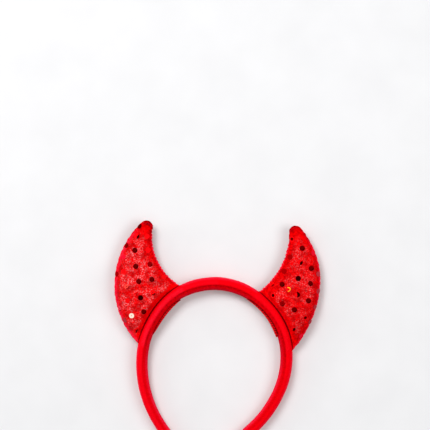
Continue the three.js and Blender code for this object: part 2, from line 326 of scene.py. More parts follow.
class Nodes:
    """A new material's nodes, with short calls to make and join them."""

    def __init__(self, name):
        self.material = bpy.data.materials.new(name)
        self.material.use_nodes = True
        self.tree = self.material.node_tree
        self.shader = self.tree.nodes["Principled BSDF"]

    def add(self, kind, inputs=None, **settings):
        node = self.tree.nodes.new(kind)
        for key, value in settings.items():
            setattr(node, key, value)
        for key, value in (inputs or {}).items():
            self.set(node.inputs[key], value)
        return node

    def set(self, socket, value):
        if isinstance(value, bpy.types.NodeSocket):
            self.tree.links.new(value, socket)
        elif isinstance(value, bpy.types.Node):
            self.tree.links.new(value.outputs[0], socket)
        else:
            socket.default_value = value

    def shade(self, **inputs):
        for key, value in inputs.items():
            self.set(self.shader.inputs[key.replace("_", " ")], value)
        return self.material

    def place(self):
        return self.add("ShaderNodeTexCoord").outputs["Object"]

    def noise(self, size, detail=2.0, roughness=0.5, stretch=None):
        """Grey noise whose features are about that many metres across."""
        place = self.place()
        if stretch:
            place = self.add("ShaderNodeMapping", {"Vector": place, "Scale": stretch}).outputs[0]
        node = self.add(
            "ShaderNodeTexNoise",
            {"Vector": place, "Scale": 1 / size, "Detail": detail, "Roughness": roughness},
        )
        return node.outputs["Fac"]

    def cells(self, size, output="Color"):
        node = self.add("ShaderNodeTexVoronoi", {"Vector": self.place(), "Scale": 1 / size})
        return node.outputs[output]

    def ramp(self, value, *stops):
        node = self.add("ShaderNodeValToRGB", {"Fac": value})
        ramp = node.color_ramp
        while len(ramp.elements) < len(stops):
            ramp.elements.new(0.5)
        for element, (at, colour) in zip(ramp.elements, stops):
            element.position = at
            element.color = (*colour, 1)
        return node.outputs["Color"]

    def grey(self, value, low, high, low_out=0.0, high_out=1.0):
        node = self.add(
            "ShaderNodeMapRange",
            {"Value": value, "From Min": low, "From Max": high, "To Min": low_out, "To Max": high_out},
        )
        return node.outputs["Result"]

    def mix(self, share, a, b, blend="MIX"):
        node = self.add("ShaderNodeMix", data_type="RGBA", blend_type=blend)
        self.set(node.inputs[0], share)
        for socket, value in ((node.inputs[6], a), (node.inputs[7], b)):
            self.set(socket, value if isinstance(value, bpy.types.NodeSocket) else (*value, 1))
        return node.outputs[2]

    def maths(self, operation, a, b=0.5):
        node = self.add("ShaderNodeMath", operation=operation)
        self.set(node.inputs[0], a)
        self.set(node.inputs[1], b)
        return node.outputs[0]

    def attribute(self, name):
        return self.add("ShaderNodeAttribute", attribute_name=name).outputs["Fac"]

    def bump(self, height, distance, strength=1.0, normal=None):
        node = self.add(
            "ShaderNodeBump", {"Height": height, "Distance": distance, "Strength": strength}
        )
        if normal is not None:
            self.set(node.inputs["Normal"], normal)
        return node.outputs["Normal"]


def velvet_material():
    """Short red pile, brushed in small clumps, with painted shade on its inner side, in its seam
    and along the patches, and a painted pink sheen and highlight at its rims and down a ridge."""
    n = Nodes("velvet")
    pile = n.noise(0.8 * MM, detail=4, roughness=0.65)
    brushed_and_shade = n.noise(5 * MM, detail=3)
    tone = n.ramp(brushed_and_shade, (0.3, (0.7, 0.0, 0.002)), (0.7, (0.82, 0.0, 0.003)))
    fibres = n.mix(n.grey(pile, 0.35, 0.65), tone, (0.9, 0.0, 0.004))
    # Painted pink sheen and highlight, by the share stored on each point.
    sheen_share = n.maths("MULTIPLY", n.attribute("painted_sheen"), n.grey(pile, 0.4, 0.6, 0.15, 1.15))
    fibres = n.mix(sheen_share, fibres, (0.94, 0.02, 0.065))
    uneven = n.grey(n.noise(1.5 * MM, detail=2), 0.35, 0.65, 0.7, 1.25)
    # Painted shade: darker by the share of shade stored on each point.
    with_painted_shade = n.mix(n.maths("MULTIPLY", n.attribute("painted_shade"), uneven), fibres, (0.12, 0.0, 0.0005))
    return n.shade(
        Base_Color=with_painted_shade,
        Roughness=n.grey(brushed_and_shade, 0.3, 0.7, 0.32, 0.5),
        Specular_IOR_Level=0.0,
        Sheen_Weight=n.grey(n.attribute("painted_shade"), 0, 0.8, 0.6, 0.1),
        Sheen_Roughness=0.25,
        Sheen_Tint=(1.0, 0.03, 0.15, 1),
        Normal=n.bump(pile, 0.15 * MM),
    )


def glitter_material():
    """Red cloth woven with foil thread, whose flakes each lie at a tilt of their own.
    They show most over the belly, where the cloth is stretched over the stuffing and a
    painted highlight is laid, and the hem is plain. Its edges get a painted pink sheen,
    and the crease at its base painted shade."""
    n = Nodes("glitter_cloth")
    flake = n.cells(0.75 * MM)
    chance = n.add("ShaderNodeSeparateColor", {"Color": flake}).outputs[0]
    knit = n.noise(1.1 * MM, detail=3, roughness=0.7)
    worn = n.noise(8 * MM, detail=2)
    # Flakes and a lighter ground over the belly, where the cloth is stretched, with a painted highlight
    # there that is stronger on the left horn.
    shown = n.maths("MULTIPLY", n.attribute("stretched_and_lit"), n.grey(worn, 0.4, 0.68, 0.1, 1.0))
    bright = n.maths("POWER", n.grey(chance, 0.25, 1.0), 3.2)
    lit = n.maths("MULTIPLY", bright, shown)
    ground = n.ramp(
        knit,
        (0.34, (0.42, 0.0, 0.0005)),
        (0.5, (0.78, 0.0, 0.001)),
        (0.66, (0.98, 0.001, 0.002)),
    )
    ground = n.mix(n.maths("MULTIPLY", n.attribute("plain"), 0.8), ground, (0.95, 0.0, 0.001))
    ground = n.mix(n.maths("MULTIPLY", shown, 0.5), ground, (1.0, 0.008, 0.01))
    blotch = n.grey(n.noise(4 * MM, detail=2), 0.35, 0.58, 0.7, 1.0)
    shade = n.add("ShaderNodeCombineColor", {0: blotch, 1: blotch, 2: blotch})
    ground = n.mix(1.0, ground, shade.outputs[0], "MULTIPLY")
    # Painted pink sheen along the horn's edges, by the share stored on each point.
    painted_sheen = n.ramp(n.noise(1.6 * MM), (0.4, (1.0, 0.004, 0.025)), (0.65, (1.0, 0.035, 0.08)))
    ground = n.mix(n.attribute("rim"), ground, painted_sheen)
    colour = n.mix(lit, ground, (1.0, 0.36, 0.38))
    tilt = n.add("ShaderNodeVectorMath", {0: flake, 1: (0.5, 0.5, 0.5)}, operation="SUBTRACT")
    tilt = n.add("ShaderNodeVectorMath", {0: tilt.outputs[0], "Scale": 0.8}, operation="SCALE")
    facing = n.bump(knit, 0.3 * MM)
    facing = n.add("ShaderNodeVectorMath", {0: facing, 1: tilt.outputs[0]}, operation="ADD")
    facing = n.add("ShaderNodeVectorMath", {0: facing.outputs[0]}, operation="NORMALIZE")
    # Painted shade in the crease at the horn's base, from the share stored on each point.
    return n.shade(
        Base_Color=n.mix(n.attribute("painted_shade"), colour, (0.1, 0.0, 0.0005)),
        Metallic=n.maths("MULTIPLY", lit, 0.6),
        Roughness=n.grey(lit, 0, 1, 0.6, 0.3),
        Specular_IOR_Level=0.0,
        Sheen_Weight=n.grey(n.attribute("painted_shade"), 0, 1, 0.5, 0.05),
        Sheen_Roughness=0.25,
        Sheen_Tint=(1.0, 0.02, 0.1, 1),
        Normal=facing.outputs[0],
    )


def foil_material(name, colour, roughness, metallic):
    """A sequin's foil, faintly scratched."""
    # Its colour is a painted reflection of the red foil, dark or bright as the disc faced.
    n = Nodes(name)
    scratch = n.noise(0.4 * MM, detail=3)
    shade = n.grey(scratch, 0.3, 0.7, 0.8, 1.1)
    tinted = n.mix(1.0, colour, n.add("ShaderNodeCombineColor", {0: shade, 1: shade, 2: shade}).outputs[0],
                   "MULTIPLY")
    return n.shade(Base_Color=tinted, Metallic=metallic, Roughness=roughness,
                   Specular_IOR_Level=0.0, Normal=n.bump(scratch, 0.02 * MM))


def felt_material():
    n = Nodes("felt")
    fibre = n.noise(0.5 * MM, detail=4, roughness=0.7)
    tone = n.ramp(fibre, (0.3, (0.6, 0.0, 0.002)), (0.7, (0.95, 0.0, 0.004)))
    return n.shade(Base_Color=tone, Roughness=0.95, Specular_IOR_Level=0.0, Sheen_Weight=0.1,
                   Normal=n.bump(fibre, 0.3 * MM))


def thread_material():
    n = Nodes("thread")
    twist = n.noise(0.2 * MM, detail=2)
    tone = n.ramp(twist, (0.3, (0.05, 0.0, 0.001)), (0.7, (0.14, 0.0, 0.001)))
    return n.shade(Base_Color=tone, Roughness=0.7, Specular_IOR_Level=0.02,
                   Normal=n.bump(twist, 0.1 * MM))


VELVET = velvet_material()
GLITTER = glitter_material()
FELT = felt_material()
THREAD = thread_material()
# The foils' colours are painted reflections of one red foil: from black, where a disc reflects darkness,
# through red, to pink, gold and white, where it glints.
FOILS = {
    "black": foil_material("foil_black", (0.032, 0.0, 0.0), 0.4, 0.0),
    "dark": foil_material("foil_dark", (0.125, 0.0, 0.0), 0.4, 0.0),
    "wine": foil_material("foil_wine", (0.27, 0.0, 0.001), 0.4, 0.0),
    "maroon": foil_material("foil_maroon", (0.36, 0.0, 0.001), 0.4, 0.0),
    "red": foil_material("foil_red", (0.97, 0.003, 0.005), 0.35, 0.3),
    "crimson": foil_material("foil_crimson", (0.9, 0.005, 0.025), 0.35, 0.3),
    "pink": foil_material("foil_pink", (0.95, 0.05, 0.09), 0.35, 0.3),
    "salmon": foil_material("foil_salmon", (1.0, 0.06, 0.045), 0.35, 0.3),
    "gold": foil_material("foil_gold", (1.0, 0.36, 0.02), 0.35, 0.4),
    "grey": foil_material("foil_grey", (0.46, 0.035, 0.05), 0.4, 0.0),
    "white": foil_material("foil_white", (1.0, 0.76, 0.62), 0.35, 0.0),
}

# A sequin's look: the foil over most of it, the foil over the rest, the share of the
# disc that the rest takes up, and the innermost of its rings that the rest is on.
# Each look paints the reflection over all of a disc or over a part of it.
LOOKS = {
    "black": ("black", "black", 0.0, 1),
    "dark": ("dark", "black", 0.3, 2),
    "wine": ("wine", "dark", 0.3, 2),
    "maroon": ("maroon", "maroon", 0.0, 1),
    "red": ("red", "red", 0.0, 1),
    "half": ("red", "black", 0.6, 1),
    "third": ("red", "black", 0.4, 1),
    "trace": ("red", "dark", 0.25, 2),
    "speck": ("dark", "red", 1.0, 2),
    "dot": ("black", "red", 1.0, 2),
    "crimson": ("crimson", "crimson", 0.0, 1),
    "pink": ("pink", "wine", 0.2, 2),
    "salmon": ("salmon", "wine", 0.3, 2),
    "gold": ("red", "gold", 0.6, 2),
    "grey": ("grey", "grey", 0.0, 1),
    "white": ("white", "white", 0.0, 1),
}


# The band


def band_stations():
    """Every ring of the band, as its side's name and its distance, end to end."""
    stations = []
    for name in ("left", "right"):
        length = LINES[name][0]
        straight = length - BAND_END_ROUND
        steps = round(straight / BAND_STEP)
        distances = [straight * i / steps for i in range(steps + 1)]
        turns = [math.radians(90 * i / 9) for i in range(1, 9)]
        distances += [straight + BAND_END_ROUND * math.sin(turn) for turn in turns]
        if name == "left":
            stations += [(name, d) for d in reversed(distances)]
        else:
            stations += [(name, d) for d in distances[1:]]
    return stations


SEAM_ANGLE = math.radians(109)
LEG_SEAM_ANGLE = math.radians(102)
SEAM_WIDTH = 0.75 * MM
SEAM_DEPTH = 0.35 * MM
VALLEY_WIDTH = 2.0 * MM
VALLEY_DEPTH = 0.3 * MM
INNER_PLUMPNESS = 0.35 * MM
# Painted shade on the velvet's inner side, on the crown and beside each patch, and the strength of the
# painted highlight down each side's ridge.
CROWN_INSIDE_SHADE = 0.36
PATCH_INSIDE_SHADE = {"left": 0.34, "right": 0.24}
RIDGE_HIGHLIGHT = {"left": 0.4, "right": 0.08}


def on_legs(distance):
    """From 0 on the crown to 1 on the legs, where the seam is soft and hardly shows."""
    return smooth(80 * MM, 115 * MM, distance)


def along_patch(name, distance):
    """From 0 away from the side's patch to 1 beside it."""
    start, length = HORNS[name]["patch"]
    edge = 4 * MM
    return smooth(start, start + edge, distance) * smooth(start + length, start + length - edge, distance)


def half_round(angle):
    """The angle from the section's outermost point, the same above and below."""
    return angle if angle <= math.pi else 2 * math.pi - angle


def off_the_seam(name, distance, angle):
    """How far a point of the section lies past the seam, towards the inside."""
    legs = on_legs(distance)
    seam = SEAM_ANGLE + (LEG_SEAM_ANGLE - SEAM_ANGLE) * legs
    return (half_round(angle) - seam) * min(band_half(name, distance))


def band_relief(name, distance, angle):
    """How far the velvet stands off the plain section there. Its padding is plumper
    on the inside, and the seam draws it in."""
    legs = on_legs(distance)
    beside = along_patch(name, distance)
    off_seam = off_the_seam(name, distance, angle)
    groove = math.exp(-((off_seam / SEAM_WIDTH) ** 2)) * (1 - 0.85 * legs) * (1 - 0.6 * beside)
    valley = math.exp(-((off_seam / VALLEY_WIDTH) ** 2)) * (1 - 0.3 * legs)
    place = on_band(name, distance, angle)
    gathers = gathered_velvet(name, distance, angle)
    lumps = 0.16 * MM * wobble(place, 12 * MM, 1) + 0.07 * MM * wobble(place, 2.2 * MM, 2)
    lift = lumps - SEAM_DEPTH * groove - VALLEY_DEPTH * valley - 0.16 * MM * gathers
    lift += INNER_PLUMPNESS * smooth(math.radians(110), math.radians(160), half_round(angle))
    end = min(min(band_half(name, distance)) / (BAND_END_THICKNESS[name] / 2), 1)
    return lift * end


def gathered_velvet(name, distance, angle):
    """From 0 to 1 in the small gathers beside the seam, strongest along the patches."""
    off_seam = off_the_seam(name, distance, angle)
    place = on_band(name, distance, angle)
    fold = 0.5 + 0.5 * math.sin(distance / (0.75 * MM) + 4 * wobble(place, 8 * MM, 5))
    near = math.exp(-((off_seam / VALLEY_WIDTH) ** 2))
    return fold * near * (0.35 + 0.65 * along_patch(name, distance))


def band_shade(name, distance, angle):
    """How much painted shade the velvet gets there: on its inner side, in the seam's groove
    and gathers and along the patch's edge; and how much painted pink sheen and highlight,
    at its outer and inner rims and down a ridge beside the horns."""
    legs = on_legs(distance)
    beside = along_patch(name, distance)
    off_seam = off_the_seam(name, distance, angle)
    round_angle = half_round(angle)
    # Painted shade: on the inner side past the seam, in the seam's groove and gathers, and in a dark line
    # along the patch's edge.
    inside = smooth(-1.6 * MM, 0.6 * MM, off_seam)
    groove = math.exp(-((off_seam / SEAM_WIDTH) ** 2)) * (1 - 0.85 * legs) * (1 - 0.6 * beside)
    valley = math.exp(-((off_seam / VALLEY_WIDTH) ** 2))
    wrap = PATCH_WRAP[name]
    by_patch = smooth(wrap * 1.35, wrap * 1.05, math.pi - round_angle) * beside
    brushed_and_shade = CROWN_INSIDE_SHADE + (PATCH_INSIDE_SHADE[name] - CROWN_INSIDE_SHADE) * beside - 0.24 * legs
    dark = brushed_and_shade * inside + 0.1 * legs * valley + 0.3 * groove
    dark += 0.2 * gathered_velvet(name, distance, angle) * inside + 0.55 * by_patch
    horn = HORNS[name]
    beside_horn = smooth(horn["start"] - 2 * MM, horn["start"], distance)
    beside_horn *= smooth(horn["start"] + horn["base"] + 2 * MM, horn["start"] + horn["base"], distance)
    # Painted pink sheen at the outer rim away from the horns and at the inner rim, and a painted highlight
    # down a ridge beside the horns.
    outer_sheen = smooth(math.radians(60), math.radians(20), round_angle) * (1 - beside_horn)
    ridge_highlight = math.exp(-(((round_angle - math.radians(78)) / math.radians(24)) ** 2))
    ridge_highlight *= RIDGE_HIGHLIGHT[name] * (0.25 + 0.75 * beside_horn)
    inner_sheen = smooth(math.radians(120), math.radians(155), round_angle) * (1 - beside)
    return min(dark, 1), min(outer_sheen + ridge_highlight + (0.6 + 0.4 * legs) * inner_sheen, 1)


def make_band():
    vertices, painted_shades, painted_sheens = [], [], []
    stations = band_stations()
    for name, distance in stations:
        for k in range(BAND_SIDES):
            angle = 2 * math.pi * k / BAND_SIDES
            vertices.append(on_band(name, distance, angle, band_relief(name, distance, angle)))
            # Each point's painted shade and painted sheen, for the velvet to read.
            dark, pink = band_shade(name, distance, angle)
            painted_shades.append(dark)
            painted_sheens.append(pink)
    for name in LINES:
        vertices.append(on_band(name, LINES[name][0], 0))
        painted_shades.append(0)
        painted_sheens.append(0.5)
    made = make_object("band_velvet", [OWN @ v for v in vertices],
                       loft_faces(len(stations), BAND_SIDES), VELVET)
    for vertex in made.data.vertices:
        vertex.co.z = max(vertex.co.z, 0)
    colour_point(made, "painted_shade", painted_shades)
    colour_point(made, "painted_sheen", painted_sheens)
    outward_faces(made)
    return finish_piece(made, "velvet", "band")


# The horns


def bulged_arc(start, end, bulge):
    """An arc whose middle stands that far to the right of its chord: a function from
    a share of it to the point and the direction square to it on the right."""
    chord = end - start
    half = chord.length / 2
    radius = (half * half + bulge * bulge) / (2 * bulge)
    right = Vector((chord.y, -chord.x)).normalized()
    centre = (start + end) / 2 + right * (bulge - radius)
    first = math.atan2(start.y - centre.y, start.x - centre.x)
    sweep = 4 * math.atan2(bulge, half)

    def at(share):
        normal = Vector((math.cos(first + sweep * share), math.sin(first + sweep * share)))
        return centre + normal * radius, normal

    return at


def between(rows, along):
    """A smooth value between the rows of a table."""
    i = max(k for k in range(len(rows) - 1) if rows[k][0] <= along or k == 0)

    def slope(k):
        a, b = rows[max(k - 1, 0)], rows[min(k + 1, len(rows) - 1)]
        return (b[1] - a[1]) / (b[0] - a[0])

    span = rows[i + 1][0] - rows[i][0]
    t = min(max((along - rows[i][0]) / span, 0), 1)
    return (
        rows[i][1] * (1 + 2 * t) * (1 - t) ** 2
        + slope(i) * span * t * (1 - t) ** 2
        + rows[i + 1][1] * t * t * (3 - 2 * t)
        - slope(i + 1) * span * t * t * (1 - t)
    )


def horn_seat(name, share):
    """The point of the horn's base on the band's outer surface, drawn to the right."""
    horn = HORNS[name]
    distance = horn["start"] + horn["base"] * share
    point, outward = LINES[name][1](distance)
    return point + outward * (band_half(name, distance)[0] + HEM_CLEARANCE), outward


def horn_ribs(name):
    """The horn's ribs from base to tip: both ends, the share along, and the depth."""
    horn = HORNS[name]
    upper, straight_out = horn_seat(name, 0)
    lower, _ = horn_seat(name, 1)
    towards_tip = straight_out.copy()
    towards_tip.rotate(Matrix.Rotation(horn["lean"], 2))
    tip = upper + towards_tip * horn["rise"]
    inner = bulged_arc(upper, tip, horn["inner_bulge"])
    outer = bulged_arc(lower, tip, horn["outer_bulge"])
    ribs = []
    for i in range(HORN_STEPS + 1):
        share = (i / HORN_STEPS) ** 1.15
        a, a_normal = inner(share)
        b, b_normal = outer(share)
        width = HORN_TIP_RADIUS * share
        skew = horn["outer_skew"] * math.sin(2 * math.pi * share)
        depth = between(HORN_FULLNESS, share)
        ribs.append((a - a_normal * width, b + b_normal * (width - skew), share, depth))
    first = math.atan2(*reversed(-inner(1)[1]))
    last = math.atan2(*reversed(outer(1)[1]))
    first += 2 * math.pi if first < last else 0
    middle = (first + last) / 2
    widest = math.sin((first - last) / 2)
    for i in range(1, HORN_CAP_STEPS + 1):
        turn = i / (HORN_CAP_STEPS + 0.6)
        ends = []
        for angle in (first, last):
            at = angle + (middle - angle) * turn
            ends.append(tip + Vector((math.cos(at), math.sin(at))) * HORN_TIP_RADIUS)
        narrow = math.sin((first - last) / 2 * (1 - turn)) / widest
        ribs.append((*ends, 1.0, between(HORN_FULLNESS, 1) * narrow))
    return ribs


def make_horn_skin(name):
    """The horn's cloth before it is stuffed, as a closed mesh in the own frame, with
    the share along and across the horn at each point."""
    upper, lower = horn_seat(name, 0)[0], horn_seat(name, 1)[0]
    sign = HORNS[name]["sign"]
    count = 2 * HORN_COLUMNS
    points, alongs, acrosses = [], [], []
    for a, b, along, depth in horn_ribs(name):
        for k in range(count):
            across = (1 - math.cos(math.pi * k / HORN_COLUMNS)) / 2
            swell = (1 - abs(2 * across - 1) ** 2.4) ** 0.56
            bend = horn_seat(name, across)[0] - upper.lerp(lower, across)
            place = a.lerp(b, across) + bend * (1 - along) ** 2
            face = 1 if k <= HORN_COLUMNS else -1
            points.append(Vector((sign * place.x, place.y, face * HORN_DEPTH / 2 * depth * swell)))
            alongs.append(along)
            acrosses.append(across)
    rings = len(points) // count
    for ring in (points[:count], points[-count:]):
        points.append(sum(ring, Vector()) / count)
    alongs += [0, 1]
    acrosses += [0.5, 0.5]
    return points, loft_faces(rings, count), np.array(alongs), np.array(acrosses)


def off_band(name, point, lift=HEM_CLEARANCE):
    """The point moved out of the band, where it lies in it or too close."""
    distance, reach, outward = from_centre_line(name, point)
    half_thickness, half_depth = band_half(name, distance)
    flat = point.z / (half_depth + lift)
    if abs(flat) >= 1:
        return point
    needed = (half_thickness + lift) * math.sqrt(1 - flat * flat)
    if reach >= needed:
        return point
    return point + (outward * (needed - reach)).to_3d()


def stuff(made, pinned, seam):
    """Blows the cloth up like stuffing does, with its base held and its seams drawn
    tighter than the cloth beside them, and returns where its points end up."""
    held = made.vertex_groups.new(name="held")
    drawn = made.vertex_groups.new(name="drawn")
    for i, weight in enumerate(pinned):
        if weight > 0:
            held.add([i], float(weight), "REPLACE")
    for i, weight in enumerate(seam):
        if weight > 0:
            drawn.add([i], float(weight), "REPLACE")
    cloth = made.modifiers.new("stuffing", "CLOTH")
    settings = cloth.settings
    settings.quality = 6
    settings.mass = 0.2
    settings.tension_stiffness = 30
    settings.compression_stiffness = 30
    settings.shear_stiffness = 12
    settings.bending_stiffness = 0.4
    settings.use_pressure = True
    settings.uniform_pressure_force = 4
    settings.vertex_group_mass = "held"
    settings.vertex_group_shrink = "drawn"
    settings.shrink_min = 0.0
    settings.shrink_max = 0.05
    settings.effector_weights.gravity = 0
    cloth.collision_settings.use_collision = False
    scene = bpy.context.scene
    for step in range(1, 21):
        scene.frame_set(step)
    graph = bpy.context.evaluated_depsgraph_get()
    blown = np.array([v.co for v in made.evaluated_get(graph).data.vertices])
    made.modifiers.remove(cloth)
    scene.frame_set(1)
    return blown


STUFFING_CAP = 1.5 * MM
OUTLINE_CAP = 0.3 * MM
GATHER_PITCH = 3.7 * MM
GATHER_REACH = 3.4 * MM
SEAM_ALLOWANCE = 0.5 * MM
KNOT_PITCH = 2.7 * MM


def gathered(point, from_seam, run, inner):
    """How deep the seam gathers the cloth there. The concave edge gathers more."""
    wave = run / GATHER_PITCH + 0.35 * wobble(point, 6 * MM, 8)
    fold = (0.5 + 0.5 * math.cos(2 * math.pi * wave)) ** 2
    depth = (0.8 if inner else 0.5) * MM * (0.7 + 0.5 * wobble(point, 9 * MM, 9))
    return depth * fold * math.exp(-from_seam / GATHER_REACH)


def capped(moved, along_limit, depth_limit):
    """The movement, held to a limit in the horn's plane and to another across it."""
    flat = np.maximum(np.linalg.norm(moved[:, :2], axis=1), 1e-9)
    scale = np.minimum(1, along_limit / flat)[:, None]
    return np.hstack([moved[:, :2] * scale, np.clip(moved[:, 2:], -depth_limit, depth_limit)])


def make_horn(name):
    points, faces, along, across = make_horn_skin(name)
    made = make_object(f"horn_{name}_cloth", points, faces, GLITTER)
    outward_faces(made)
    edge = np.minimum(across, 1 - across)
    before = np.array([v.co for v in made.data.vertices])
    pinned = np.clip(1 - along / 0.04, 0, 1)
    seam = np.where((edge < 0.004) & (along > 0.02) & (along < 1), 1.0, 0.0)
    after = before + capped(stuff(made, pinned, seam) - before, OUTLINE_CAP, STUFFING_CAP)
    made.data.vertices.foreach_set("co", after.ravel())
    ribs = {rib[2]: (rib[0] - rib[1]).length for rib in horn_ribs(name)}
    widths = np.array([ribs.get(share, 2 * HORN_TIP_RADIUS) for share in along])
    colour_point(made, "from_seam", edge * widths)
    colour_point(made, "along", along)
    colour_point(made, "across", across)
    divide = made.modifiers.new("finer", "SUBSURF")
    divide.subdivision_type = "SIMPLE"
    divide.levels = divide.render_levels = 1
    graph = bpy.context.evaluated_depsgraph_get()
    finer = bpy.data.meshes.new_from_object(made.evaluated_get(graph))
    made.modifiers.remove(divide)
    made.data = finer
    made.vertex_groups.clear()
    from_seam, along, across = (
        [value.value for value in finer.attributes[key].data] for key in ("from_seam", "along", "across")
    )
    plain, painted_shade, stretched_and_lit, rim = [], [], [], []
    sheen_reach = (4.5 if name == "left" else 2.0) * MM
    rise = HORNS[name]["rise"]
    for i, vertex in enumerate(finer.vertices):
        point = vertex.co.copy()
        from_band = off_surface(name, point)
        lift = 0.34 * MM * wobble(point, 9 * MM, 3) + 0.1 * MM * wobble(point, 2.6 * MM, 4)
        lift += SEAM_ALLOWANCE * math.exp(-from_seam[i] / GATHER_REACH)
        lift -= gathered(point, from_seam[i], along[i] * rise * 1.3, across[i] < 0.5)
        point += vertex.normal * lift * smooth(0, 4 * MM, from_band)
        point = off_band(name, point)
        hem = from_band + 0.9 * MM * wobble(point, 5 * MM, 6)
        below_tip = smooth(0.98, 0.82, along[i])
        plain.append(max(1 - smooth(2.8 * MM, 5.2 * MM, hem), 0.8 * (1 - below_tip)))
        # Painted shade in the crease where the horn meets the band, wider at each knot.
        knot = 0.5 + 0.5 * math.cos(2 * math.pi * across[i] * HORNS[name]["base"] / KNOT_PITCH)
        painted_shade.append(1 - smooth(0.0, (0.6 + 0.5 * knot) * MM, from_band))
        # Stretched over the belly, with a painted highlight there, stronger on the left horn.
        belly = smooth(1.5 * MM, 10 * MM, from_seam[i]) * (1 - plain[-1]) * smooth(1.1, 0.7, along[i])
        stretched_and_lit.append(belly * HORNS[name]["painted_sparkle"])
        # Painted pink sheen along the seams, wider along one edge, most of all on the left horn.
        reach = sheen_reach if across[i] > 0.5 else 1.2 * MM
        rim.append(smooth(reach, 0.2 * MM, from_seam[i]) * below_tip)
        placed = OWN @ point
        placed.z = max(placed.z, 0)
        vertex.co = placed
    colour_point(made, "plain", plain)
    colour_point(made, "painted_shade", painted_shade)
    colour_point(made, "stretched_and_lit", stretched_and_lit)
    colour_point(made, "rim", rim)
    for face in finer.polygons:
        face.use_smooth = True
    return finish_piece(made, "sequin_cloth", f"horn_{name}")


# The sequins


def photo_to_own(x, y):
    """The place in the own frame under a pixel of the photo, seen from above."""
    right = (x - CROWN_PIXEL[0]) * PIXEL
    up = (CROWN_PIXEL[1] - y) * PIXEL
    turn = Matrix.Rotation(PHOTO_TURN, 2)
    return turn @ Vector((right, up))


def sequin_shape(centre, normal, dish):
    """A thin foil disc, sewn down by a knot of thread in its hole: its points, and its
    faces with the ring and the place in it that each belongs to."""
    right = Vector((1, 0, 0)).cross(normal).cross(-normal).normalized()
    turn = Matrix((right, normal.cross(right), normal)).transposed() @ Matrix.Rotation(REST_FROM, 3, "Z")
    rings = [
        (KNOT_RADIUS * 0.5, KNOT_HEIGHT),
        (KNOT_RADIUS, -dish),
        (SEQUIN_RADIUS * 0.62, -dish * 0.6),
        (SEQUIN_RADIUS, 0),
        (SEQUIN_RADIUS, -SEQUIN_THICKNESS),
        (KNOT_RADIUS, -dish - SEQUIN_THICKNESS),
    ]
    points = []
    for radius, height in rings:
        for k in range(SEQUIN_SIDES):
            angle = 2 * math.pi * k / SEQUIN_SIDES
            flat = Vector((radius * math.cos(angle), radius * math.sin(angle), height))
            points.append(centre + turn @ flat)
    faces = [(tuple(range(SEQUIN_SIDES)), 0, 0)]
    for i in range(len(rings) - 1):
        a, b = i * SEQUIN_SIDES, (i + 1) * SEQUIN_SIDES
        for j in range(SEQUIN_SIDES):
            k = (j + 1) % SEQUIN_SIDES
            faces.append(((a + j, b + j, b + k, a + k), i, j))
    faces.append((tuple(reversed(range(b, b + SEQUIN_SIDES))), len(rings) - 1, 0))
    return points, faces


def sequin_foil(look, ring, place):
    """The foil, or the thread, of one face of a sequin with that look."""
    main, rest, share, width = LOOKS[look]
    if ring == 0:
        return "pink" if look == "white" else main if share == 0 else "dark"
    return rest if place < share * SEQUIN_SIDES and ring >= width else main


def rear_places(name):
    """Slanted rows and columns of places over the horn's hidden face."""
    sign = HORNS[name]["sign"]
    row, column = Vector((-1.7, -12.6)) * MM, Vector((9.3, -4.2)) * MM
    first = Vector((68.5, 98)) * MM
    places = []
    for i in range(-1, 9):
        for j in range(-5, 5):
            place = first + row * i + column * j
            places.append(Vector((sign * place.x, place.y)))
    return places


def cloth_under(tree, place, face):
    """The point and normal of the cloth straight under a place on that face."""
    start = OWN @ Vector((place.x, place.y, face * 3 * HORN_DEPTH))
    down = OWN.to_3x3() @ Vector((0, 0, -face))
    point, normal, _, _ = tree.ray_cast(start, down)
    return point, normal


def lie_on(tree, point, normal):
    """The middle and the normal of a disc that lies over that point of the cloth."""
    across = normal.orthogonal().normalized()
    spots = []
    for k in range(6):
        away = Matrix.Rotation(2 * math.pi * k / 6, 3, normal) @ across * SEQUIN_RADIUS * 0.8
        spots.append(tree.find_nearest(point + away)[0])
    level = sum(((spots[k] - point).cross(spots[(k + 1) % 6] - point) for k in range(6)), Vector())
    level.normalize()
    proud = max(max((spot - point).dot(level) for spot in spots), 0)
    return point + level * (proud + SEQUIN_THICKNESS + 0.1 * MM), level


def within_outline(tree, centre, level, face):
    """Whether nearly all of the disc is inside the horn's outline, seen from that face."""
    across = level.orthogonal().normalized() * SEQUIN_RADIUS * 0.7
    for k in range(8):
        rim = OWN.inverted() @ (centre + Matrix.Rotation(2 * math.pi * k / 8, 3, level) @ across)
        if not cloth_under(tree, rim, face)[0]:
            return False
    return True


def seat(tree, place, face, middle):
    """Where a disc lies on the cloth: its middle and normal. A place too near the
    horn's edge, or on its steep side, is first moved in towards the middle."""
    for _ in range(16):
        point, normal = cloth_under(tree, place, face)
        if point and normal.z * face > 0.3:
            centre, level = lie_on(tree, point, normal)
            if within_outline(tree, centre, level, face):
                return centre, level
        place = place + (middle - place).normalized() * 0.2 * MM
    return None


